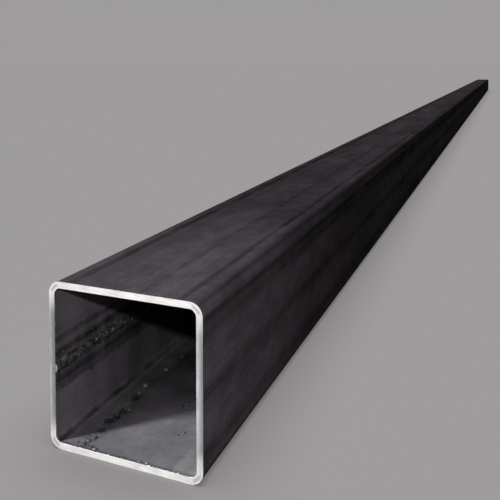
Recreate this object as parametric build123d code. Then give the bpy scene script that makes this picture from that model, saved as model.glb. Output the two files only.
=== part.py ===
"""Square steel tube, one stock length: strip rolled into a square section, seam welded, ends sawn.

Millimetres, +Z up. The tube lies along Y on its bottom wall. The origin is on the underside,
midway between the ends and midway between the sides. The weld seam is in the -X wall.
"""

import os

from build123d import *

# The section
SIDE = 100.0  # outside width and height
WALL = 4.0  # thickness of the strip
BEND_RADIUS = 4.0  # inside of each corner, where the strip is bent

# The stock length, from one sawn end to the other
LENGTH = 6000.0

# The seam weld, and the flash that it squeezes out on the inside. On the outside it is planed flush.
SEAM_DROP = 2.0  # from the middle of its wall down to the seam
FLASH_WIDTH = 5.0  # from toe to toe, along the wall
FLASH_HEIGHT = 1.5  # from the wall to the crown
FLASH_TOE_RADIUS = 0.6  # where each toe runs into the wall


def flash_profile() -> Sketch:
    """The rounded ridge on the inside of the seam, with its root in the wall."""
    wall_face = WALL - SIDE / 2
    root = wall_face - WALL / 2
    low_toe = (wall_face, -FLASH_WIDTH / 2)
    crown = (wall_face + FLASH_HEIGHT, 0)
    high_toe = (wall_face, FLASH_WIDTH / 2)
    ridge = ThreePointArc(low_toe, crown, high_toe)
    buried_sides = Polyline(high_toe, (root, FLASH_WIDTH / 2), (root, -FLASH_WIDTH / 2), low_toe)
    return Pos(0, -SEAM_DROP) * make_face(ridge + buried_sides)


def bore_profile() -> Sketch:
    """The hollow: a rounded square that gives way to the flash, blended at the toes."""
    width = SIDE - 2 * WALL
    bore = RectangleRounded(width, width, BEND_RADIUS) - flash_profile()
    on_seam_wall = bore.vertices().group_by(Axis.X)[0]
    toes = on_seam_wall.sort_by(lambda vertex: abs(vertex.Y + SEAM_DROP))[:2]
    return fillet(toes, FLASH_TOE_RADIUS)


def square_tube() -> Part:
    """The section, run the whole stock length and set down on its bottom wall."""
    outside = RectangleRounded(SIDE, SIDE, BEND_RADIUS + WALL)
    section = Plane.XZ * (outside - bore_profile())
    return Pos(0, 0, SIDE / 2) * extrude(section, LENGTH / 2, both=True)


os.makedirs("parts", exist_ok=True)
export_step(square_tube(), "parts/square_tube.step")
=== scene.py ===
"""The looks of the square steel tube: rolled walls, weld flash, sawn ends and what lies inside.

Metres. The tube lies along Y, and its weld seam is in the -X wall.
"""

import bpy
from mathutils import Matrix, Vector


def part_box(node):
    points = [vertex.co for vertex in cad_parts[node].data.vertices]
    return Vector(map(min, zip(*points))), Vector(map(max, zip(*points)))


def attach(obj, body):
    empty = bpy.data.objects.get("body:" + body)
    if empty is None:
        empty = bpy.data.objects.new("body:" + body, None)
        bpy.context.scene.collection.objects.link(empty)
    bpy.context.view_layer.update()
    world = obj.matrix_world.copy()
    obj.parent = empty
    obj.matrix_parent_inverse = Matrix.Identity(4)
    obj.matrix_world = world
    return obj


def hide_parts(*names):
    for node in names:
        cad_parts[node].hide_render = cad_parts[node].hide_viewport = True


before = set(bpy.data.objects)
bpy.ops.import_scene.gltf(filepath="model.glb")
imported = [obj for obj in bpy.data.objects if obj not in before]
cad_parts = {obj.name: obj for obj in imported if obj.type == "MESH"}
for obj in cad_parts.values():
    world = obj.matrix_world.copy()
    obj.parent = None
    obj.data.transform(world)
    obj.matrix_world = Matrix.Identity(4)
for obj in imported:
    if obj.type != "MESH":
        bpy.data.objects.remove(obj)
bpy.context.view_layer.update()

import math

import bpy
from mathutils import Vector

MM = 0.001

# The section, as the construction has it
LOW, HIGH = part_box("square_tube")
SIDE = HIGH[0] - LOW[0]
LENGTH = HIGH[1] - LOW[1]
HALF_SIDE = SIDE / 2
HALF_LENGTH = LENGTH / 2
MIDDLE = LOW[2] + HALF_SIDE  # height of the section's centre
WALL = 4 * MM
BEND_RADIUS = 4 * MM
HALF_FLAT = HALF_SIDE - BEND_RADIUS - WALL  # from the middle of a wall to where its bends start
FLASH_WIDTH = 5 * MM
FLASH_HEIGHT = 1.5 * MM
SEAM_DROP = 2 * MM  # from the middle of its wall down to the seam
SEAM_FACE = WALL - HALF_SIDE  # where the inside of the seam wall stands
SEAM_HEIGHT = MIDDLE - SEAM_DROP
FLOOR_FACE = LOW[2] + WALL  # where the inside of the bottom wall lies

# How finely the walls are divided
CORNER_STEPS = 8
FLAT_STEPS = 6
HOLD = 1 * MM  # a narrow strip beside each bend keeps the flats flat
FLASH_STEPS = 10
STATIONS = 250
END_CROWDING = 0.9  # from 0, evenly spaced, to 1, crowded most at the ends
EDGE_BREAK = 0.12 * MM  # the small flat that the saw leaves along each edge
WAVINESS = 0.12 * MM
WAVE_SCALE = 14.0
WAVE_STRETCH = 0.35  # small draws the waves out along the tube
WAVE_STEP = 0.7  # sets the inside's apart from the outside's
TRUE_END = 8 * MM  # they fade out over this length before a sawn end
SHARP_EDGE = math.radians(38)  # an edge that turns more than this stays sharp


# Node trees

class Tree:
    """One node tree, built in short calls. A value may be a number or another node's output."""

    def __init__(self, tree):
        self.tree = tree

    def add(self, kind, inputs=None, **settings):
        node = self.tree.nodes.new(kind)
        for name, value in settings.items():
            setattr(node, name, value)
        for name, value in (inputs or {}).items():
            self.feed(node.inputs[name], value)
        return node

    def feed(self, socket, value):
        if isinstance(value, bpy.types.NodeSocket):
            self.tree.links.new(value, socket)
        else:
            socket.default_value = value

    def result(self, kind, inputs=None, **settings):
        """The first output of a new node."""
        return self.add(kind, inputs, **settings).outputs[0]

    def applied(self, kind, operation, values):
        node = self.tree.nodes.new(kind)
        node.operation = operation
        for socket, value in zip(node.inputs, values):
            self.feed(socket, value)
        return node.outputs[0]

    def math(self, operation, *values):
        return self.applied("ShaderNodeMath", operation, values)

    def whole(self, operation, *values):
        return self.applied("FunctionNodeIntegerMath", operation, values)

    def vectors(self, operation, *values):
        return self.applied("ShaderNodeVectorMath", operation, values)

    def add_up(self, *values):
        total = values[0]
        for value in values[1:]:
            total = self.math("ADD", total, value)
        return total

    def times(self, *values):
        product = values[0]
        for value in values[1:]:
            product = self.math("MULTIPLY", product, value)
        return product

    def less(self, value, other):
        return self.math("SUBTRACT", value, other)

    def mixed(self, share, low, high):
        """low where share is 0, high where it is 1."""
        return self.add_up(low, self.times(share, self.less(high, low)))

    def parts(self, vector):
        """The X, Y and Z of a vector."""
        return self.add("ShaderNodeSeparateXYZ", {"Vector": vector}).outputs

    def vector(self, x, y, z):
        return self.result("ShaderNodeCombineXYZ", {"X": x, "Y": y, "Z": z})

    def scaled(self, vector, size):
        return self.vectors("MULTIPLY", vector, self.vector(size, size, size))

    def ramp(self, value, start, end, low=0.0, high=1.0):
        """low before start, high after end, and smooth between them."""
        inputs = {"Value": value, "From Min": start, "From Max": end, "To Min": low, "To Max": high}
        return self.add("ShaderNodeMapRange", inputs, interpolation_type="SMOOTHSTEP").outputs["Result"]

    def noise(self, vector, scale, detail=2.0, roughness=0.5):
        inputs = {"Vector": vector, "Scale": scale, "Detail": detail, "Roughness": roughness}
        return self.result("ShaderNodeTexNoise", inputs)

    def clouds(self, vector, scale, detail=3.0, soft=0.18):
        """A noise with its contrast drawn out, from 0 to 1."""
        return self.ramp(self.noise(vector, scale, detail, 0.55), 0.5 - soft, 0.5 + soft)

    # For Geometry Nodes

    def random(self, low, high, seed):
        """A random number, or a random vector where low is one, of its own for each point."""
        node = self.tree.nodes.new("FunctionNodeRandomValue")
        is_vector = isinstance(low, tuple)
        node.data_type = "FLOAT_VECTOR" if is_vector else "FLOAT"
        first = 0 if is_vector else 2
        self.feed(node.inputs[first], low)
        self.feed(node.inputs[first + 1], high)
        self.feed(node.inputs["Seed"], seed)
        return node.outputs[0 if is_vector else 1]

    def named(self, name, kind):
        return self.result("GeometryNodeInputNamedAttribute", {"Name": name}, data_type=kind)

    def stored(self, geometry, name, value, kind, domain):
        node = self.add("GeometryNodeStoreNamedAttribute", {"Geometry": geometry, "Name": name},
                        data_type=kind, domain=domain)
        self.feed(node.inputs["Value"], value)
        return node.outputs[0]

    def moved(self, geometry, **places):
        """The geometry with each point at Position, or shifted by Offset."""
        return self.result("GeometryNodeSetPosition", {"Geometry": geometry, **places})

    def outline_point(self, outline, column, columns, offset=0.0):
        """The place of one of the outline's points, counted round it and on past the last one."""
        index = self.add_up(self.math("FLOORED_MODULO", column, columns), offset)
        sample = self.add("GeometryNodeSampleIndex", {"Geometry": outline, "Index": index},
                          data_type="FLOAT_VECTOR")
        self.feed(sample.inputs["Value"], self.result("GeometryNodeInputPosition"))
        return sample.outputs[0]

    def painted(self, geometry, finish, where=None):
        node = self.add("GeometryNodeSetMaterial", {"Geometry": geometry, "Material": finish})
        if where:
            self.feed(node.inputs["Selection"], self.math("GREATER_THAN", where, 0.5))
        return node.outputs[0]


def geometry_tree(name, sockets):
    """An empty Geometry Nodes tree with these named inputs, and its input and output sockets."""
    tree = bpy.data.node_groups.new(name, "GeometryNodeTree")
    tree.interface.new_socket("Geometry", in_out="INPUT", socket_type="NodeSocketGeometry")
    for socket, kind in sockets.items():
        tree.interface.new_socket(socket, in_out="INPUT", socket_type="NodeSocket" + kind)
    tree.interface.new_socket("Geometry", in_out="OUTPUT", socket_type="NodeSocketGeometry")
    given = tree.nodes.new("NodeGroupInput").outputs
    made = tree.nodes.new("NodeGroupOutput").inputs["Geometry"]
    return Tree(tree), given, made


def placed(name, data):
    """A new object in the scene."""
    thing = bpy.data.objects.new(name, data)
    bpy.context.scene.collection.objects.link(thing)
    return thing


def grown(name, tree, host, values):
    """A plain mesh object with what the tree makes of the host mesh."""
    holder = placed(name + "_host", host)
    modifier = holder.modifiers.new(name, "NODES")
    modifier.node_group = tree.tree
    for socket in tree.tree.interface.items_tree:
        if socket.in_out == "INPUT" and socket.name in values:
            modifier[socket.identifier] = values[socket.name]
    graph = bpy.context.evaluated_depsgraph_get()
    evaluated = holder.evaluated_get(graph)
    mesh = bpy.data.meshes.new_from_object(evaluated, preserve_all_data_layers=True, depsgraph=graph)
    bpy.data.objects.remove(holder)
    mesh.name = name
    return placed(name, mesh)


def crowded(tree, share, crowding):
    """A place from -1 to 1 along the tube, drawn towards the ends."""
    return tree.mixed(crowding, share, tree.math("SINE", tree.times(share, math.pi / 2)))


# The section's outline

def bend(centre_x, centre_z, radius, quarter):
    """Points round one corner, anticlockwise seen from the near end."""
    turns = [(quarter + step / CORNER_STEPS) * math.pi / 2 for step in range(CORNER_STEPS + 1)]
    return [(centre_x + radius * math.cos(turn), centre_z + radius * math.sin(turn)) for turn in turns]


def flat_places(half_flat, seam):
    """Places along one flat between its bends, closer together on the flash."""
    inner = half_flat - HOLD
    if not seam:
        return [-inner + 2 * inner * step / FLAT_STEPS for step in range(FLAT_STEPS + 1)]
    half = FLASH_WIDTH / 2
    ridge = [SEAM_DROP - half * math.cos(math.pi * step / FLASH_STEPS) for step in range(FLASH_STEPS + 1)]
    above = [-inner, (ridge[0] - inner) / 2]
    below = [(ridge[-1] + inner) / 2, inner]
    return above + ridge + below


def flash_rise(place):
    """How far the flash stands off its wall, this far down from the wall's middle: an arc."""
    half = FLASH_WIDTH / 2
    off_seam = place - SEAM_DROP
    if abs(off_seam) >= half:
        return 0.0
    radius = (half ** 2 + FLASH_HEIGHT ** 2) / (2 * FLASH_HEIGHT)
    return math.sqrt(radius ** 2 - off_seam ** 2) - (radius - FLASH_HEIGHT)


def loop(half, radius, inside):
    """One closed line round the section, from the +X end of the top wall's bend."""
    flat = half - radius
    points = []
    for quarter, (sign_x, sign_z) in enumerate(((1, 1), (-1, 1), (-1, -1), (1, -1))):
        points += bend(sign_x * flat, sign_z * flat, radius, quarter)
        seam = quarter == 1
        for place in flat_places(flat, seam):
            rise = flash_rise(place) if seam and inside else 0.0
            on_wall = ((-place, half), (rise - half, -place), (place, -half), (half, place))
            points.append(on_wall[quarter])
    return points


def outline_mesh():
    """The outer line's points, then as many of the inner one."""
    outer = loop(HALF_SIDE, BEND_RADIUS + WALL, inside=False)
    inner = loop(HALF_SIDE - WALL, BEND_RADIUS, inside=True)
    mesh = bpy.data.meshes.new("outline")
    mesh.from_pydata([(x, 0.0, MIDDLE + z) for x, z in outer + inner], [], [])
    return mesh


# The walls

OUTSIDE_BAND = (0.005, 0.465)  # the share of the bake map's height: where it starts, how much it takes
INSIDE_BAND = (0.48, 0.42)
FAR_END_BAND = (0.91, 0.035)
NEAR_END_BAND = (0.955, 0.035)
MAP_MARGIN = 0.005


def skin_tree():
    """The whole surface as one cloth, woven round the wall: outside, far end, inside, near end."""
    tree, given, made = geometry_tree("tube_skin", {
        "Length": "Float", "Wall": "Float", "Stations": "Int", "End crowding": "Float",
        "Edge break": "Float", "Waviness": "Float",
        "Outside": "Material", "Inside": "Material", "Sawn": "Material",
    })
    points = tree.add("GeometryNodeAttributeDomainSize", {"Geometry": given["Geometry"]})
    columns = tree.whole("DIVIDE", points.outputs["Point Count"], 2)
    courses = tree.whole("ADD", given["Stations"], 4)  # the stations, then four lines over the sawn end
    rows = tree.whole("MULTIPLY", courses, 2)
    grid = tree.add("GeometryNodeMeshGrid", {
        "Vertices X": tree.whole("ADD", columns, 1), "Vertices Y": rows,
    })
    across, along, _ = tree.parts(grid.outputs["UV Map"])
    column = tree.math("ROUND", tree.times(across, columns))
    row = tree.math("ROUND", tree.times(along, tree.less(rows, 1)))

    # The first half of the rows is the outside and the far end, the rest the inside and the near end
    inward = tree.math("GREATER_THAN", row, tree.less(courses, 0.5))
    course = tree.less(row, tree.times(inward, courses))
    facing = tree.less(1.0, tree.times(inward, 2.0))
    on_end = tree.math("GREATER_THAN", course, tree.less(given["Stations"], 0.5))
    line = tree.less(course, given["Stations"])
    from_middle = tree.less(1.5, line)
    on_face = tree.math("LESS_THAN", tree.math("ABSOLUTE", from_middle), 1.0)
    past = tree.math("LESS_THAN", from_middle, 0.0)
    edge_share = tree.math("DIVIDE", given["Edge break"], given["Wall"])
    end_depth = tree.add_up(past, tree.times(on_face, edge_share, tree.math("SIGN", from_middle)))

    # Along the tube the stations crowd towards the ends
    step = tree.math("DIVIDE", course, tree.less(given["Stations"], 1.0))
    spread = crowded(tree, tree.less(tree.times(step, 2.0), 1.0), given["End crowding"])
    last = tree.less(tree.times(given["Length"], 0.5), given["Edge break"])
    end_place = tree.add_up(last, tree.times(on_face, given["Edge break"]))
    y = tree.times(tree.mixed(on_end, tree.times(spread, last), end_place), facing)

    # Through the wall: 0 on the outside, 1 on the inside, and a little between them where it waves
    depth = tree.add_up(inward, tree.times(on_end, end_depth, facing))

    outer = tree.outline_point(given["Geometry"], column, columns)
    inner = tree.outline_point(given["Geometry"], column, columns, offset=columns)
    shift = tree.vector(0.0, tree.times(y, WAVE_STRETCH), tree.times(depth, WAVE_STEP))
    wave = tree.noise(tree.vectors("ADD", outer, shift), WAVE_SCALE, 2.0)
    wave_share = tree.math("DIVIDE", given["Waviness"], given["Wall"])
    off_end = tree.ramp(tree.less(last, tree.math("ABSOLUTE", y)), 0.0, TRUE_END)
    sway = tree.times(wave, wave_share, off_end, facing)
    through = tree.add("ShaderNodeMix", {"Factor": tree.add_up(depth, sway)}, data_type="VECTOR")
    tree.feed(through.inputs[4], outer)
    tree.feed(through.inputs[5], inner)
    place_in_space = tree.vectors("ADD", through.outputs[1], tree.vector(0.0, y, 0.0))
    woven = tree.moved(grid.outputs["Mesh"], Position=place_in_space)

    # The bake map: a band each for the outside and the inside, and a strip for each end
    round_share = tree.math("DIVIDE", column, columns)

    def band(share, limits):
        start, width = limits
        return tree.add_up(start, tree.times(share, width))

    wall_v = tree.mixed(inward, band(round_share, OUTSIDE_BAND), band(round_share, INSIDE_BAND))
    end_v = tree.mixed(inward, band(end_depth, FAR_END_BAND), band(end_depth, NEAR_END_BAND))
    u = tree.mixed(on_end, step, round_share)
    u = tree.add_up(MAP_MARGIN, tree.times(u, 1 - 2 * MAP_MARGIN))
    place_in_map = tree.vector(u, tree.mixed(on_end, wall_v, end_v), 0.0)
    mapped = tree.stored(woven, "OFBake", place_in_map, "FLOAT2", "CORNER")

    merged = tree.result("GeometryNodeMergeByDistance", {"Geometry": mapped, "Distance": 0.01 * MM})
    outward = tree.result("GeometryNodeFlipFaces", {"Mesh": merged})
    whole = tree.result("GeometryNodeRealizeInstances", {"Geometry": outward})
    for where, finish in ((None, "Outside"), (inward, "Inside"), (on_end, "Sawn")):
        whole = tree.painted(whole, given[finish], where)
    tree.feed(made, whole)
    return tree


def tube_skin(outside, inside, sawn):
    piece = grown("square_tube_skin", skin_tree(), outline_mesh(), {
        "Length": LENGTH, "Wall": WALL, "Stations": STATIONS, "End crowding": END_CROWDING,
        "Edge break": EDGE_BREAK, "Waviness": WAVINESS,
        "Outside": outside, "Inside": inside, "Sawn": sawn,
    })
    piece.data.shade_smooth()
    piece.data.set_sharp_from_angle(angle=SHARP_EDGE)
    return piece


# The flash's rough metal

FLASH_SPREAD = 9 * MM  # how wide it lies over the seam
FLASH_COLUMNS = 13  # points across it
FLASH_COURSES = 5000  # points along it
FLASH_CROWDING = 0.75
FLASH_ROOT = 1 * MM  # how deep its hidden side lies in the wall
FLASH_EDGE_ROOT = 0.25 * MM
FLASH_LUMPS = 0.6 * MM  # how far its lumps stand up or sink in
FLASH_LUMP_SCALE = 440.0
FLASH_GRAINS = 0.35 * MM
FLASH_GRAIN_SCALE = 950.0
FLASH_SWAY = 0.8 * MM  # how far it strays off the seam's own line
FLASH_SWAY_SCALE = 40.0
FLASH_CALM = (0.3 * MM, 2.5 * MM)  # its relief starts between these distances from an end
FLASH_MAP_ROWS = 20  # its length lies folded in this many rows on the bake map


def flash_outline():
    """Points over the ridge from one edge to the other, then two inside the wall."""
    half = FLASH_SPREAD / 2
    places = [SEAM_DROP + half * (2 * step / (FLASH_COLUMNS - 1) - 1) for step in range(FLASH_COLUMNS)]
    rises = [flash_rise(place) for place in places]
    rises[0] = rises[-1] = -FLASH_EDGE_ROOT
    points = [(SEAM_FACE + rise, 0.0, MIDDLE - place) for rise, place in zip(rises, places)]
    points += [(SEAM_FACE - FLASH_ROOT, 0.0, MIDDLE - place) for place in (places[-1], places[0])]
    mesh = bpy.data.meshes.new("flash_outline")
    mesh.from_pydata(points, [], [])
    return mesh


def flash_tree():
    """Rough metal along the seam: lumps drawn out a little along it, with finer grains on them."""
    tree, given, made = geometry_tree("weld_flash", {
        "Half length": "Float", "Courses": "Int", "Crowding": "Float", "Across": "Int",
        "Lumps": "Float", "Grains": "Float", "Sway": "Float", "Map rows": "Int", "Finish": "Material",
    })
    points = tree.add("GeometryNodeAttributeDomainSize", {"Geometry": given["Geometry"]})
    columns = points.outputs["Point Count"]
    grid = tree.add("GeometryNodeMeshGrid", {
        "Vertices X": tree.whole("ADD", columns, 1), "Vertices Y": given["Courses"],
    })
    across, along, _ = tree.parts(grid.outputs["UV Map"])
    column = tree.math("ROUND", tree.times(across, columns))
    course = tree.math("ROUND", tree.times(along, tree.less(given["Courses"], 1.0)))
    share = tree.less(tree.times(along, 2.0), 1.0)
    y = tree.times(crowded(tree, share, given["Crowding"]), given["Half length"])
    x, _, z = tree.parts(tree.outline_point(given["Geometry"], column, columns))

    # The relief dies away at the edges, on the hidden side and at the sawn ends
    centred = tree.less(tree.times(2.0, tree.math("DIVIDE", column, tree.less(given["Across"], 1.0))), 1.0)
    over = tree.ramp(tree.math("ABSOLUTE", centred), 1.0, 0.75)
    from_end = tree.less(given["Half length"], tree.math("ABSOLUTE", y))
    off_end = tree.ramp(from_end, *FLASH_CALM)
    lumps = tree.noise(tree.vector(0.0, tree.times(y, 0.6), z), FLASH_LUMP_SCALE, 2.0, 0.6)
    grains = tree.noise(tree.vector(0.0, tree.times(y, 0.7), z), FLASH_GRAIN_SCALE, 1.0)
    relief_height = tree.add_up(
        tree.times(tree.less(lumps, 0.5), 2.0, given["Lumps"]),
        tree.times(tree.less(grains, 0.5), 2.0, given["Grains"]))
    x = tree.add_up(x, tree.times(relief_height, over, off_end))
    stray = tree.less(tree.noise(tree.vector(0.0, y, 0.0), FLASH_SWAY_SCALE, 2.0), 0.5)
    z = tree.add_up(z, tree.times(stray, 2.0, given["Sway"], off_end))

    # Each end closes to one point inside the wall
    closing = tree.math("GREATER_THAN", tree.math("ABSOLUTE", share), 0.999999)
    place = tree.vector(
        tree.mixed(closing, x, SEAM_FACE - FLASH_ROOT / 2), y, tree.mixed(closing, z, SEAM_HEIGHT))
    drawn = tree.moved(grid.outputs["Mesh"], Position=place)

    face_course = tree.result("GeometryNodeFieldOnDomain", {"Value": course}, domain="FACE")
    row_length = tree.math("DIVIDE", given["Courses"], given["Map rows"])
    row = tree.math("FLOOR", tree.math("DIVIDE", face_course, row_length))
    in_row = tree.less(tree.math("DIVIDE", course, row_length), row)
    u = tree.add_up(MAP_MARGIN, tree.times(in_row, 1 - 2 * MAP_MARGIN))
    round_share = tree.add_up(0.05, tree.times(tree.math("DIVIDE", column, columns), 0.9))
    v = tree.math("DIVIDE", tree.add_up(row, round_share), given["Map rows"])
    mapped = tree.stored(drawn, "OFBake", tree.vector(u, v, 0.0), "FLOAT2", "CORNER")
    merged = tree.result("GeometryNodeMergeByDistance", {"Geometry": mapped, "Distance": 0.001 * MM})
    whole = tree.result("GeometryNodeRealizeInstances", {"Geometry": merged})
    whole = tree.result("GeometryNodeSetShadeSmooth", {"Geometry": whole})
    tree.feed(made, tree.painted(whole, given["Finish"]))
    return tree


def weld_flash(finish):
    return grown("weld_flash", flash_tree(), flash_outline(), {
        "Half length": HALF_LENGTH - EDGE_BREAK, "Courses": FLASH_COURSES, "Crowding": FLASH_CROWDING,
        "Across": FLASH_COLUMNS, "Lumps": FLASH_LUMPS, "Grains": FLASH_GRAINS, "Sway": FLASH_SWAY,
        "Map rows": FLASH_MAP_ROWS, "Finish": finish,
    })


# Small things, each one shape on many points

BEADS = 600
BEAD_RADII = (0.22 * MM, 0.85 * MM)  # most of them near the smaller one
BEAD_REACH = 600 * MM  # how far in from the sawn ends the beads lie
BEAD_MARGIN = 2 * MM  # and how near to the ends
BEAD_BAND = 16 * MM  # and how far above and below the seam
BEAD_ROUGHNESS = 0.06 * MM
BURRS = 180  # at each sawn end
BURR_RADII = (0.10 * MM, 0.42 * MM)
UPPER_BURRS = 0.5  # the share of those radii from the section's middle up
BURR_SHAPES = ((0.6, 0.5, 1.0), (1.1, 0.9, 4.0))  # in radii, the last along the edge
BURR_ROUGHNESS = 0.05 * MM
BURR_SWAY = 0.9 * MM
BURR_INSET = 0.65 * MM  # how far in from the sawn face they are
CRUMBS = 260
CRUMB_RADII = (0.25 * MM, 1.0 * MM)
CRUMB_SHAPES = ((0.7, 0.7, 0.5), (1.2, 1.2, 0.8))
CRUMB_TURNS = ((-0.2, -0.2, 0.0), (0.2, 0.2, math.tau))
CRUMB_LUMPS = 0.7  # in radii
CRUMB_REACH = 500 * MM
CRUMB_MARGIN = 3 * MM
CRUMB_ROW = 21.5 * MM  # the crumbs gather in a row this far from the tube's seam side
CRUMB_SPREAD = 12 * MM
PROUD = 0.3  # how far the middle of a bead or a crumb stands off its wall, in radii
ROUGHNESS_SCALE = 900.0

# The larger crumbs at the near end, in millimetres: from the seam side, in from the sawn end and the
# radius. The last number is the shine
LARGE_CRUMBS = (
    (22.7, 11.5, 1.3, 0.25), (22.9, 32.8, 1.3, 0.0), (20.6, 37.9, 1.5, 0.1), (21.4, 42.7, 1.4, 0.0),
    (24.7, 45.9, 1.0, 0.5), (16.5, 59.6, 1.1, 0.2), (19.2, 66.7, 1.2, 0.5), (18.7, 75.6, 1.7, 0.6),
    (20.2, 101.6, 1.8, 0.4), (69.7, 35.8, 0.7, 0.2), (67.4, 32.5, 0.6, 0.2), (55.2, 62.0, 0.9, 0.0),
    (56.1, 65.4, 0.8, 0.6), (57.1, 68.0, 0.9, 0.0), (29.6, 1.8, 1.2, 1.0), (59.5, 1.6, 0.8, 0.8),
    (64.4, 1.4, 0.9, 0.9),
)


def small_tree(name, sockets):
    """A tree for many small copies, with the inputs that all such trees have."""
    shared = {"Count": "Int", "Half length": "Float", "Seed": "Int", "Finish": "Material"}
    return geometry_tree(name, {**sockets, **shared})


def draw(tree, given, low, high, number):
    """A random value from low to high. Each number gives another draw."""
    return tree.random(low, high, tree.whole("ADD", given["Seed"], number))


def mostly_low(tree, given, low, high, power, number):
    share = tree.math("POWER", draw(tree, given, 0.0, 1.0, number), power)
    return tree.mixed(share, low, high)


def near_ends(tree, given, reach, margin):
    """A random place along the tube, from margin to reach in from one sawn end or the other."""
    inward = mostly_low(tree, given, margin, reach, 2.0, number=1)
    other_end = tree.math("FLOORED_MODULO", tree.result("GeometryNodeInputIndex"), 2.0)
    return tree.times(tree.less(given["Half length"], inward), tree.less(tree.times(other_end, 2.0), 1.0))


def strewn(tree, given, points, shape, count, roughness, **placing):
    """A roughened copy of the shape on each point, each with its own square of the bake map."""
    mapped = tree.stored(shape.outputs["Mesh"], "OFBake", shape.outputs["UV Map"], "FLOAT2", "CORNER")
    copies = tree.result("GeometryNodeInstanceOnPoints", {"Points": points, "Instance": mapped, **placing})
    index = tree.result("GeometryNodeInputIndex")
    numbered = tree.stored(copies, "number", index, "INT", "INSTANCE")
    whole = tree.result("GeometryNodeRealizeInstances", {"Geometry": numbered})

    squares = math.ceil(math.sqrt(count))
    number = tree.named("number", "INT")
    column = tree.math("FLOORED_MODULO", number, squares)
    row = tree.math("FLOOR", tree.math("DIVIDE", number, squares))
    inset = tree.vectors("MULTIPLY_ADD", tree.named("OFBake", "FLOAT_VECTOR"), (0.9,) * 3, (0.05,) * 3)
    square = tree.vectors("ADD", inset, tree.vector(column, row, 0.0))
    place_in_map = tree.vectors("DIVIDE", square, (squares, squares, 1))
    whole = tree.stored(whole, "OFBake", place_in_map, "FLOAT2", "CORNER")

    pattern = tree.noise(tree.result("GeometryNodeInputPosition"), ROUGHNESS_SCALE, 1.0)
    rise = tree.times(tree.less(pattern, 0.5), 2.0, roughness)
    outward = tree.result("GeometryNodeInputNormal")
    whole = tree.moved(whole, Offset=tree.scaled(outward, rise))
    whole = tree.result("GeometryNodeSetShadeSmooth", {"Geometry": whole})
    return tree.painted(whole, given["Finish"])


def small_piece(name, tree, host, count, seed, finish, **values):
    shared = {"Count": count, "Half length": HALF_LENGTH, "Seed": seed, "Finish": finish}
    piece = grown(name, tree, host, {**values, **shared})
    piece.data.attributes.remove(piece.data.attributes["number"])
    return piece


def loops_mesh(name, loops):
    """A mesh of closed loops of points."""
    points = [point for loop_points in loops for point in loop_points]
    edges = []
    for loop_points in loops:
        first = len(edges)
        count = len(loop_points)
        edges += [(first + step, first + (step + 1) % count) for step in range(count)]
    mesh = bpy.data.meshes.new(name)
    mesh.from_pydata(points, edges, [])
    return mesh


def weld_spatter(finish):
    """Beads of weld metal thrown on the wall beside the flash, most of them near the sawn ends."""
    tree, given, made = small_tree("weld_spatter", {"Reach": "Float", "Band": "Float"})
    radius = mostly_low(tree, given, *BEAD_RADII, 4.0, number=2)
    away = draw(tree, given, -1.0, 1.0, number=3)
    up = tree.times(away, tree.math("ABSOLUTE", away), given["Band"])
    place = tree.vector(tree.add_up(SEAM_FACE, tree.times(radius, PROUD)),
                        near_ends(tree, given, given["Reach"], BEAD_MARGIN), tree.add_up(SEAM_HEIGHT, up))
    line = tree.result("GeometryNodeMeshLine", {"Count": given["Count"]})
    bead = tree.add("GeometryNodeMeshUVSphere", {"Segments": 6, "Rings": 4, "Radius": 1.0})
    points = tree.moved(line, Position=place)
    tree.feed(made, strewn(tree, given, points, bead, BEADS, BEAD_ROUGHNESS, Scale=radius))
    return small_piece("weld_spatter", tree, bpy.data.meshes.new("no_host"), BEADS, 5, finish,
                       Reach=BEAD_REACH, Band=BEAD_BAND)


def sawing_burrs(finish):
    """Ragged flakes that the saw leaves on the inner edge of both ends."""
    tree, given, made = small_tree("sawing_burrs", {})
    edge = tree.result("GeometryNodeMeshToCurve", {"Mesh": given["Geometry"]})
    points = tree.add("GeometryNodeCurveToPoints", {"Curve": edge, "Count": given["Count"]})
    along_edge = draw(tree, given, -BURR_SWAY, BURR_SWAY, number=1)
    sway = tree.scaled(points.outputs["Tangent"], along_edge)
    radius = mostly_low(tree, given, *BURR_RADII, 5.0, number=2)
    _, _, height = tree.parts(tree.result("GeometryNodeInputPosition"))
    radius = tree.times(radius, tree.ramp(height, FLOOR_FACE, MIDDLE, 1.0, UPPER_BURRS))
    size = tree.scaled(draw(tree, given, *BURR_SHAPES, number=3), radius)
    flake = tree.add("GeometryNodeMeshIcoSphere", {"Radius": 1.0, "Subdivisions": 1})
    swayed = tree.moved(points.outputs["Points"], Offset=sway)
    tree.feed(made, strewn(tree, given, swayed, flake, 2 * BURRS, BURR_ROUGHNESS,
                           Rotation=points.outputs["Rotation"], Scale=size))
    inner_edge = loop(HALF_SIDE - WALL, BEND_RADIUS, inside=True)
    ends = [[(x, end * (HALF_LENGTH - BURR_INSET), MIDDLE + z) for x, z in inner_edge] for end in (-1, 1)]
    return small_piece("sawing_burrs", tree, loops_mesh("inner_edges", ends), BURRS, 7, finish)


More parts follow.
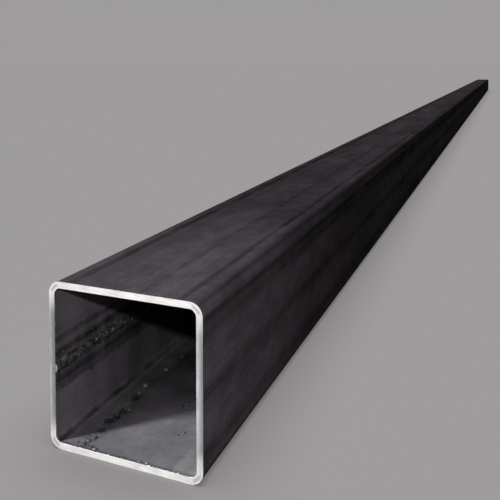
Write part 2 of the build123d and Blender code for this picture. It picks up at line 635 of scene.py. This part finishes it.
def scale_crumbs(finish):
    """Crumbs of scale and weld metal on the bottom wall, most of them in a row beside the seam wall."""
    tree, given, made = small_tree("scale_crumbs", {"Reach": "Float", "Row": "Float", "Spread": "Float"})
    off_row = mostly_low(tree, given, 0.0, 1.0, 2.5, number=2)
    side = tree.math("SIGN", draw(tree, given, -1.0, 1.0, number=3))
    x = tree.add_up(LOW[0], given["Row"], tree.times(off_row, side, given["Spread"]))
    y = near_ends(tree, given, given["Reach"], CRUMB_MARGIN)
    line = tree.result("GeometryNodeMeshLine", {"Count": given["Count"]})
    fine = tree.moved(line, Position=tree.vector(x, y, FLOOR_FACE))
    fine_radius = mostly_low(tree, given, *CRUMB_RADII, 4.0, number=4)
    fine = tree.stored(fine, "radius", fine_radius, "FLOAT", "POINT")
    fine = tree.stored(fine, "shine", mostly_low(tree, given, 0.0, 1.0, 3.0, number=5), "FLOAT", "POINT")
    join = tree.add("GeometryNodeJoinGeometry")
    for part in (fine, given["Geometry"]):
        tree.feed(join.inputs[0], part)
    radius = tree.named("radius", "FLOAT")
    points = tree.moved(join.outputs[0], Offset=tree.vector(0.0, 0.0, tree.times(radius, PROUD)))
    size = tree.scaled(draw(tree, given, *CRUMB_SHAPES, number=6), radius)
    turn = draw(tree, given, *CRUMB_TURNS, number=7)
    crumb = tree.add("GeometryNodeMeshIcoSphere", {"Radius": 1.0, "Subdivisions": 2})
    count = CRUMBS + len(LARGE_CRUMBS)
    lumpiness = tree.times(radius, CRUMB_LUMPS)
    tree.feed(made, strewn(tree, given, points, crumb, count, lumpiness, Rotation=turn, Scale=size))
    return small_piece("scale_crumbs", tree, large_crumb_places(), CRUMBS, 11, finish,
                       Reach=CRUMB_REACH, Row=CRUMB_ROW, Spread=CRUMB_SPREAD)


def large_crumb_places():
    mesh = bpy.data.meshes.new("large_crumbs")
    places = [(LOW[0] + crumb[0] * MM, LOW[1] + crumb[1] * MM, FLOOR_FACE) for crumb in LARGE_CRUMBS]
    mesh.from_pydata(places, [], [])
    for column, name, unit in ((2, "radius", MM), (3, "shine", 1.0)):
        values = mesh.attributes.new(name, "FLOAT", "POINT")
        values.data.foreach_set("value", [crumb[column] * unit for crumb in LARGE_CRUMBS])
    return mesh


# Finishes

def steel(name, metallic=0.0, roughness=0.6, specular=0.3):
    """A new material, its tree and its shader."""
    material = bpy.data.materials.new(name)
    material.use_nodes = True
    tree = Tree(material.node_tree)
    shader = material.node_tree.nodes["Principled BSDF"]
    shader.inputs["Metallic"].default_value = metallic
    shader.inputs["Roughness"].default_value = roughness
    shader.inputs["Specular IOR Level"].default_value = specular
    return material, tree, shader


class SectionPlaces:
    """Where a shaded point is: in space, in the section, along its wall and in from the nearer sawn end."""

    def __init__(self, tree):
        self.tree = tree
        self.place = tree.add("ShaderNodeTexCoord").outputs["Object"]
        self.x, self.y, height = tree.parts(self.place)
        self.z = tree.less(height, MIDDLE)
        self.standing = tree.math(
            "GREATER_THAN", tree.math("ABSOLUTE", self.x), tree.math("ABSOLUTE", self.z))
        self.across = tree.mixed(self.standing, self.x, self.z)
        self.from_end = tree.less(HALF_LENGTH, tree.math("ABSOLUTE", self.y))

    def stretched(self, along, crosswise=1.0):
        """The place for a pattern that is drawn out along the tube where along is small."""
        across = self.tree.times(self.x, crosswise)
        up = self.tree.times(self.z, crosswise)
        return self.tree.vector(across, self.tree.times(self.y, along), up)


def varied(tree, tone, pattern, amount):
    """The tone, up to this share lighter or darker where the pattern, from 0 to 1, is high or low."""
    swing = tree.times(tree.less(pattern, 0.5), 2.0, amount)
    return tree.times(tone, tree.add_up(1.0, swing))


def marked(tree, tone, value, marks, strength=1.0):
    """The tone with a dark line, or a pale one where its depth is below 0, at each mark. A mark is its
    place, half its full width, how far it fades beyond that, and its depth."""
    for place, half_width, fade, depth in marks:
        away = tree.math("ABSOLUTE", tree.less(value, place))
        shade = tree.times(tree.ramp(away, half_width, half_width + fade, 1.0, 0.0), depth, strength)
        tone = tree.times(tone, tree.less(1.0, shade))
    return tone


def in_mm(*marks):
    return [(place * MM, half_width * MM, fade * MM, depth) for place, half_width, fade, depth in marks]


def tinted(tree, shader, colour, tone):
    tree.feed(shader.inputs["Base Color"], tree.scaled(colour, tone))


def relief(tree, shader, height, distance):
    bump = tree.result("ShaderNodeBump", {"Distance": distance, "Height": height})
    tree.feed(shader.inputs["Normal"], bump)


# Marks of the forming rolls, in sides of the tube from the middle of a wall. On the standing walls the
# first one, pale, at the top bend, is a painted highlight
STANDING_MARKS = (
    (0.465, 0.030, 0.030, -0.15), (0.399, 0.009, 0.020, 0.27), (0.361, 0.042, 0.030, 0.27),
    (0.300, 0.000, 0.055, 0.15), (0.150, 0.060, 0.080, -0.14), (-0.005, 0.012, 0.042, 0.23),
    (-0.070, 0.030, 0.060, 0.07), (-0.170, 0.040, 0.080, -0.12), (-0.345, 0.012, 0.050, 0.24),
    (-0.470, 0.020, 0.060, 0.22),
)
LYING_MARKS = (
    (0.365, 0.010, 0.020, 0.35), (0.110, 0.006, 0.020, 0.20), (-0.080, 0.080, 0.080, -0.12),
    (-0.350, 0.014, 0.026, 0.40),
)
# Where the seam was planed, up from the seam
PLANED_MARKS = in_mm((0.0, 3.6, 0.3, -0.35), (4.6, 0.3, 1.2, 0.30), (-4.6, 0.3, 1.2, 0.30))
# Painted shade: the lying walls are darker than the standing ones, which keeps the lit top dark
LYING_SHADE = 0.76
END_LIGHT_REACH = 250 * MM  # painted light fall-off: the walls are palest at the open ends and darken over this length
PAST_END_LIGHT = 0.5
STANDING_SHADE_REACH = (0.5 * END_LIGHT_REACH, 1.6 * END_LIGHT_REACH)  # where the standing walls take more painted shade
STANDING_SHADE = 0.72
STRIATION_REACH = 90 * MM  # fine lines across the tube fade out by here
SCALE_COLOUR = (0.0905, 0.0795, 0.0905)


def outside_scale():
    """Black mill scale, drawn out along the tube by the forming rolls, with painted shade: darker on the
    lying walls, away from the open ends and towards the bottom, and a painted highlight at the top bends.
    """
    material, tree, shader = steel("outside_scale", roughness=0.75, specular=0.0)
    at = SectionPlaces(tree)
    wander = tree.less(tree.noise(tree.vector(0.0, at.y, 0.0), 4.0, 2.0), 0.5)
    ragged = tree.less(tree.noise(at.stretched(0.35), 60.0, 3.0, 0.6), 0.5)
    share = tree.add_up(
        tree.math("DIVIDE", at.across, SIDE), tree.times(wander, 0.04), tree.times(ragged, 0.022))
    patchy = tree.add_up(0.45, tree.clouds(at.stretched(1.0, 0.3), 14.0))
    standing = marked(tree, 1.0, share, STANDING_MARKS, patchy)
    lying = marked(tree, LYING_SHADE, share, LYING_MARKS, patchy)
    on_seam_wall = tree.times(at.standing, tree.math("LESS_THAN", at.x, 0.0))
    standing = marked(tree, standing, tree.add_up(at.z, SEAM_DROP), PLANED_MARKS, on_seam_wall)
    tone = tree.mixed(at.standing, lying, standing)
    # Painted shade: darker away from the open ends, and more so on the standing walls
    tone = tree.times(tone, tree.ramp(at.from_end, 0.0, END_LIGHT_REACH, 1.0, PAST_END_LIGHT))
    further = tree.mixed(at.standing, 1.0, STANDING_SHADE)
    tone = tree.times(tone, tree.ramp(at.from_end, *STANDING_SHADE_REACH, 1.0, further))
    tone = varied(tree, tone, tree.clouds(at.stretched(0.3), 24.0), 0.17)
    tone = varied(tree, tone, tree.clouds(at.stretched(0.6), 95.0), 0.13)
    tone = varied(tree, tone, tree.noise(at.place, 1400.0, 3.0, 0.7), 0.35)
    rolled = tree.noise(at.stretched(0.02), 500.0, 2.0)
    tone = varied(tree, tone, rolled, 0.25)
    cross_lines = tree.noise(at.stretched(1.0, 0.04), 700.0, 2.0)
    tone = varied(tree, tone, cross_lines, tree.ramp(at.from_end, 20 * MM, STRIATION_REACH, 0.22, 0.0))
    # Painted shade: darker towards the bottom of the walls
    tone = tree.times(tone, tree.ramp(at.z, -0.5 * SIDE, -0.1 * SIDE, 0.85, 1.0))
    specks = tree.ramp(tree.noise(at.stretched(0.6), 750.0, 1.0), 0.70, 0.78, 1.0, 1.7)
    tinted(tree, shader, SCALE_COLOUR, tree.times(tone, specks))
    relief(tree, shader, tree.add_up(tree.noise(at.place, 900.0, 2.0), rolled), 0.05 * MM)
    return material


# What the heat of the weld leaves, up from the seam
HEAT_MARKS = in_mm(
    (20.0, 2.0, 4.0, 0.15), (16.5, 1.0, 1.8, 0.55), (8.7, 0.8, 2.2, 0.62),
    (2.5, 7.5, 7.0, 0.40), (-7.5, 0.7, 2.4, 0.40), (-11.2, 2.5, 2.4, 0.47),
)
# Along the bottom wall, across from the tube's middle: dirt and painted shade in the bend, and a painted
# highlight beside it
BEND_DIRT_AND_SHADE = in_mm((-44.3, 0.4, 1.8, 0.50))
BEND_SHEEN = in_mm((-42.0, 0.8, 2.4, -0.30))
ROW_DIRT = in_mm((-29.0, 0.3, 4.2, 0.70))  # under the row of crumbs
PAST_ROW = (-31 * MM, -25 * MM)  # past it the floor is pale with painted light
PAINTED_LIGHT_SLANT = 1.2  # and that painted light reaches this much further in for each step across
# A paler patch on the floor by the +X wall near the end
PATCH_EDGE = (28 * MM, 33 * MM)
PATCH_REACH = (12 * MM, 34 * MM)  # in from the sawn end
PATCH_PALING = 0.50  # how much paler it is
SHADE_REACH = (0.9 * MM, 3.4 * MM)  # the floor is shaded this far in from the sawn edge
EDGE_SHADE = 0.42
BORE_COLOUR = (0.186, 0.170, 0.187)
LIT_FLOOR_RED = 0.174  # its red where light is painted on the floor
YELLOWING = 0.024  # the blue that the pale patch takes away


def bore_wall_painted_shade(tree, at):
    """Painted shade: darker further in and higher up, and painted light: palest at the foot near the end.
    """
    further_in = tree.ramp(at.from_end, 30 * MM, 100 * MM, 0.88, 0.42)
    higher = tree.ramp(at.z, -0.35 * SIDE, 0.40 * SIDE, 0.95, 0.82)
    at_foot = tree.ramp(at.z, -0.42 * SIDE, -0.26 * SIDE, 0.34, 0.0)
    near_end = tree.ramp(at.from_end, 20 * MM, 60 * MM, 1.0, 0.3)
    return tree.times(further_in, higher, tree.add_up(1.0, tree.times(at_foot, near_end)))


def bore_floor_painted_light(tree, at, aslant):
    """Painted light: pale near the end, and past the row of crumbs pale up to a line that runs in aslant.
    """
    before_row = tree.ramp(at.from_end, 30 * MM, 80 * MM, 0.93, 0.36)
    past_row = tree.times(tree.ramp(aslant, 8 * MM, 52 * MM, 0.93, 0.37),
                          tree.ramp(aslant, 80 * MM, 105 * MM, 1.0, 0.55))
    return tree.mixed(tree.ramp(at.x, *PAST_ROW), before_row, past_row)


def inside_scale():
    """Scale in the bore, with the marks of the weld's heat, dirt and painted shade along the bend with a
    painted highlight beside it, painted light and shade on the walls and the bottom wall, and a paler patch
    near the end."""
    material, tree, shader = steel("inside_scale", roughness=0.75, specular=0.0)
    at = SectionPlaces(tree)
    above_floor = tree.add_up(at.z, HALF_SIDE - WALL)
    on_seam_wall = tree.math("LESS_THAN", at.x, SEAM_FACE + 3 * MM)
    on_bottom = tree.ramp(above_floor, 1.5 * MM, BEND_RADIUS, 1.0, 0.0)
    on_floor = tree.ramp(above_floor, 1.6 * MM, 0.1 * MM)
    aslant = tree.less(at.from_end, tree.times(tree.less(at.x, PAST_ROW[1]), PAINTED_LIGHT_SLANT))
    # Painted light and shade on the walls and the floor of the bore
    tone = tree.mixed(on_floor, bore_wall_painted_shade(tree, at), bore_floor_painted_light(tree, at, aslant))

    ragged = tree.less(tree.noise(at.place, 300.0, 3.0, 0.65), 0.5)
    sway = tree.less(tree.noise(at.place, 75.0, 1.0), 0.5)
    patchy = tree.add_up(0.6, tree.times(tree.clouds(at.stretched(1.0, 0.3), 70.0), 0.6))
    heat_place = tree.add_up(at.z, SEAM_DROP, tree.times(ragged, 3 * MM), tree.times(sway, 4 * MM))
    tone = marked(tree, tone, heat_place, HEAT_MARKS, tree.times(on_seam_wall, patchy))
    worn = tree.add_up(0.5, tree.times(tree.clouds(at.stretched(1.0, 0.2), 75.0), 0.9))
    bend_place = tree.add_up(at.x, tree.times(ragged, 2.2 * MM), tree.times(sway, 1.8 * MM))
    fading = tree.ramp(at.from_end, 80 * MM, 125 * MM, 1.0, 0.6)
    gleam = tree.ramp(at.from_end, 30 * MM, 100 * MM, 0.15, 1.0)
    # Dirt and painted shade in the bend, then a painted highlight along it
    tone = marked(tree, tone, bend_place, BEND_DIRT_AND_SHADE, tree.times(on_bottom, worn, fading))
    tone = marked(tree, tone, bend_place, BEND_SHEEN, tree.times(on_bottom, gleam))
    blobs = tree.less(tree.noise(at.place, 240.0, 2.0, 0.5), 0.5)
    dirt_place = tree.add_up(at.x, tree.times(blobs, 16 * MM))
    clumps = tree.clouds(tree.vector(0.0, at.y, 0.0), 45.0, 3.0, 0.10)
    clumps = tree.times(clumps, tree.ramp(at.from_end, 60 * MM, 120 * MM, 1.0, 0.25))
    tone = marked(tree, tone, dirt_place, ROW_DIRT, tree.times(on_bottom, clumps))

    # The paler patch by the +X wall near the end
    patch_across = tree.ramp(tree.add_up(at.x, tree.times(blobs, 8 * MM)), *PATCH_EDGE)
    patch_along = tree.ramp(tree.add_up(at.from_end, tree.times(blobs, 22 * MM)), *PATCH_REACH, PATCH_PALING, 0.0)
    pale_patch = tree.times(patch_across, patch_along)
    tone = tree.times(tone, tree.add_up(1.0, tree.times(on_floor, pale_patch)))
    inward = tree.add_up(at.from_end, tree.times(ragged, 2 * MM))
    shade = tree.times(on_floor, tree.ramp(inward, *SHADE_REACH, EDGE_SHADE, 0.0))
    tone = tree.times(tone, tree.less(1.0, shade))
    tone = varied(tree, tone, tree.clouds(at.stretched(0.7), 58.0), tree.times(on_floor, 0.13))

    smudges = tree.vector(tree.times(at.x, 0.5), at.y, tree.times(at.z, 0.2))
    tone = varied(tree, tone, tree.clouds(smudges, 38.0), 0.16)
    tone = varied(tree, tone, tree.clouds(at.stretched(0.5), 30.0), 0.14)
    tone = varied(tree, tone, tree.noise(at.place, 260.0, 4.0, 0.7), 0.30)
    # The hue where light is painted on the floor
    pale = tree.times(on_floor, tree.ramp(aslant, 0.0, 40 * MM, 1.0, 0.0))
    red, green, blue = BORE_COLOUR
    red = tree.mixed(pale, red, LIT_FLOOR_RED)
    blue = tree.less(blue, tree.times(pale_patch, YELLOWING))
    tinted(tree, shader, tree.vector(red, green, blue), tone)
    relief(tree, shader, tree.noise(at.place, 700.0, 3.0), 0.08 * MM)
    return material


LYING_END_HIGHLIGHT = 1.12  # painted highlight: how bright the end of a lying wall is
STROKE_REACH = 0.06  # small draws the strokes out along their wall
STROKE_SLANT = 0.12  # how much those of the lying walls run uphill


def sawn_steel():
    """Bare steel with the strokes of its deburring along each wall, and painted highlights and shade:
    bright on the lying walls, brightest to the -X side on the standing ones, and greyer in the middle of
    each bend."""
    material, tree, shader = steel("sawn_steel", metallic=0.25, roughness=0.4)
    at = SectionPlaces(tree)
    off_centre = (tree.math("ABSOLUTE", at.x), tree.math("ABSOLUTE", at.z))
    upright = tree.ramp(off_centre[1], 0.28 * SIDE, 0.46 * SIDE, 1.0, 0.0)
    right = tree.ramp(at.x, 0.0, 10 * MM)

    # How far out from the middle of the wall's thickness, round the bends too
    past_flat = [tree.math("MAXIMUM", tree.less(value, HALF_FLAT), 0.0) for value in off_centre]
    squares = tree.add_up(*(tree.times(value, value) for value in past_flat))
    outward = tree.less(tree.math("SQRT", squares), BEND_RADIUS + WALL / 2)
    off_middle = tree.math("ABSOLUTE", outward)
    in_bend = tree.ramp(tree.math("MINIMUM", *past_flat), 0.5 * MM, 3 * MM)

    # Painted highlights and shade across the ends of the standing walls
    on_right = tree.ramp(outward, -0.5 * WALL, 0.5 * WALL, 0.76, 0.34)
    on_left = tree.ramp(outward, -0.3 * WALL, 0.4 * WALL, 0.30, 0.56)
    tone = tree.mixed(upright, LYING_END_HIGHLIGHT, tree.mixed(right, on_left, on_right))
    at_edge = tree.mixed(tree.math("MAXIMUM", upright, in_bend), 0.6, 1.0)
    tone = tree.times(tone, tree.ramp(off_middle, 0.44 * WALL, 0.46 * WALL, 1.0, at_edge))
    bent = tree.ramp(off_middle, 0.10 * WALL, 0.36 * WALL, 0.6, 0.95)
    tone = tree.times(tone, tree.mixed(in_bend, 1.0, bent))
    tone = tree.mixed(tree.ramp(off_middle, 0.52 * WALL, 0.60 * WALL), tone, 0.5)

    uphill = tree.add_up(at.z, tree.times(at.x, STROKE_SLANT))
    lying = tree.vector(tree.times(at.x, STROKE_REACH), at.y, uphill)
    standing = tree.vector(at.x, at.y, tree.times(at.z, STROKE_REACH))
    lying_strokes = tree.clouds(lying, 1500.0, 3.0, 0.25)
    strokes = tree.mixed(at.standing, lying_strokes, tree.clouds(standing, 1300.0, 2.0, 0.25))
    tone = varied(tree, tone, strokes, 0.15)
    tone = varied(tree, tone, tree.clouds(at.place, 90.0), 0.10)
    colour = tree.vector(0.735, 0.722, tree.mixed(upright, 0.712, 0.748))
    tinted(tree, shader, colour, tone)
    relief(tree, shader, strokes, 0.03 * MM)
    return material


def weld_metal():
    """Rough steel that the weld has squeezed out and thrown about: dark, with painted shade further in from
    the sawn ends and painted glints.
    """
    material, tree, shader = steel("weld_metal", metallic=0.1, roughness=0.55, specular=0.15)
    at = SectionPlaces(tree)
    # Painted shade: darker further in from the sawn ends
    tone = tree.ramp(at.from_end, 0.0, 140 * MM, 1.0, 0.6)
    tone = varied(tree, tone, tree.clouds(at.stretched(0.8), 340.0, soft=0.12), 0.6)
    # Painted glints
    painted_glints = tree.ramp(tree.noise(at.stretched(0.7), 380.0, 1.0), 0.62, 0.70, 1.0, 3.4)
    tinted(tree, shader, (0.070, 0.066, 0.070), tree.times(tone, painted_glints))
    relief(tree, shader, tree.noise(at.place, 2500.0, 2.0), 0.06 * MM)
    return material


def torn_steel():
    """Bright steel, torn by the saw's teeth."""
    material, tree, shader = steel("torn_steel", metallic=0.3, roughness=0.35)
    at = SectionPlaces(tree)
    tinted(tree, shader, (0.70, 0.695, 0.68), varied(tree, 0.9, tree.clouds(at.place, 900.0), 0.3))
    return material


def loose_scale():
    """Crumbs, some of them dull scale and some bright metal, as their shine says."""
    material, tree, shader = steel("loose_scale", metallic=0.2, roughness=0.45)
    at = SectionPlaces(tree)
    shine = tree.add("ShaderNodeAttribute", attribute_name="shine").outputs["Fac"]
    tone = varied(tree, tree.mixed(shine, 0.035, 0.28), tree.clouds(at.place, 1200.0), 0.45)
    tinted(tree, shader, (1.0, 0.99, 0.98), tone)
    return material


# The studio

# Places here are in sides of the tube, from the near end's lower +X corner
CAMERA_PLACE = (1.46, -2.98, 2.25)
CAMERA_TURN = math.radians(21.8)  # to the left of the tube's own direction
CAMERA_TILT = math.radians(-2.6)
CAMERA_LENS = 46.0
CAMERA_SHIFT = -0.31
STUDIO_GREY = (0.345, 0.332, 0.335)
FLOOR_BOUNCE = 0.35  # the share of its grey with which the floor lights the tube
FLOOR_GLOW = 0.45  # the share of its grey that the floor shows in shadow too
SURROUND_LEVEL = 0.035

# Distant lamps: their level, heading, height and softness
KEY = (1.35, 47, 33, 7)
BACK = (0.7, 170, 6, 20)
SIDE_LIGHT = (0.11, -100, 12, 20)
OVERHEAD = (0.98, 0, 90, 58)  # on the floor alone

FILL_PLACE = (2.0, -4.4, 3.53)
FILL_LEVEL = 0.49
FILL_SIZE = 0.02


def from_near_corner(place):
    """Such a place, in metres."""
    across, along, up = place
    return (HIGH[0] + across * SIDE, LOW[1] + along * SIDE, LOW[2] + up * SIDE)


def studio_camera():
    data = bpy.data.cameras.new("camera")
    data.lens = CAMERA_LENS
    data.shift_y = CAMERA_SHIFT
    data.clip_start = 0.01
    data.clip_end = 500
    camera = placed("camera", data)
    camera.location = from_near_corner(CAMERA_PLACE)
    camera.rotation_euler = (math.pi / 2 + CAMERA_TILT, 0, CAMERA_TURN)
    bpy.context.scene.camera = camera


def lamp(name, data, rotation, lit, location=(0, 0, 0)):
    """A lamp that lights only the things in one collection."""
    lamp_object = placed(name, data)
    lamp_object.location = location
    lamp_object.rotation_euler = rotation
    lamp_object.visible_camera = False
    lamp_object.light_linking.receiver_collection = lit


def sun(name, level, heading, height, softness, lit):
    """A distant lamp of this level on a surface that faces it. Its light travels heading degrees to
    the right of +Y and comes down at height degrees."""
    data = bpy.data.lights.new(name, "SUN")
    data.energy = level * math.pi
    data.angle = math.radians(softness)
    lamp(name, data, (math.radians(90 - height), 0, -math.radians(heading)), lit)


def near_fill(lit):
    """A small lamp above the camera, whose level counts where the near end is."""
    data = bpy.data.lights.new("fill", "AREA")
    data.shape = "DISK"
    data.size = FILL_SIZE
    place = Vector(from_near_corner(FILL_PLACE))
    towards = Vector((0.0, LOW[1], MIDDLE)) - place
    data.energy = FILL_LEVEL * math.pi * math.pi * towards.length_squared
    lamp("fill", data, towards.to_track_quat("-Z", "Y").to_euler(), lit, place)


def seen(tree):
    """1 where the studio is looked at, 0 where it only lights things."""
    rays = tree.add("ShaderNodeLightPath").outputs
    looked_at = tree.math("MAXIMUM", rays["Is Camera Ray"], rays["Is Glossy Ray"])
    return tree.math("MAXIMUM", looked_at, rays["Is Transmission Ray"])


def studio_floor():
    reach = 120.0
    mesh = bpy.data.meshes.new("studio_floor")
    corners = [(-reach, -reach), (reach, -reach), (reach, reach), (-reach, reach)]
    mesh.from_pydata([(x, y, LOW[2]) for x, y in corners], [], [(0, 1, 2, 3)])
    floor = placed("studio_floor", mesh)
    material, tree, shader = steel("studio_grey", roughness=1.0, specular=0.0)
    looked_at = seen(tree)
    tinted(tree, shader, STUDIO_GREY, tree.mixed(looked_at, FLOOR_BOUNCE, 1.0 - FLOOR_GLOW))
    shader.inputs["Emission Color"].default_value = (*STUDIO_GREY, 1.0)
    tree.feed(shader.inputs["Emission Strength"], tree.times(looked_at, FLOOR_GLOW))
    mesh.materials.append(material)
    return floor


def studio_world():
    """Grey all round, at a lower level where it lights things without being seen."""
    world = bpy.data.worlds.new("studio")
    bpy.context.scene.world = world
    world.use_nodes = True
    tree = Tree(world.node_tree)
    background = world.node_tree.nodes["Background"]
    background.inputs["Color"].default_value = (*STUDIO_GREY, 1.0)
    tree.feed(background.inputs["Strength"], tree.mixed(seen(tree), SURROUND_LEVEL, 1.0))


def gathered(name, things):
    """A collection of these things, for a lamp that lights only them."""
    collection = bpy.data.collections.new(name)
    for thing in things:
        collection.objects.link(thing)
    return collection


skin = tube_skin(outside_scale(), inside_scale(), sawn_steel())
weld_finish = weld_metal()
pieces = [
    skin,
    weld_flash(weld_finish),
    weld_spatter(weld_finish),
    sawing_burrs(torn_steel()),
    scale_crumbs(loose_scale()),
]
for piece in pieces:
    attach(piece, "root")
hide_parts("square_tube")

studio_camera()
studio_world()
tube_things = gathered("tube_things", pieces)
floor_things = gathered("floor_things", [studio_floor()])
sun("key", *KEY, tube_things)
sun("back", *BACK, tube_things)
sun("side", *SIDE_LIGHT, tube_things)
sun("overhead", *OVERHEAD, floor_things)
near_fill(tube_things)
bpy.context.scene.view_settings.view_transform = "Standard"
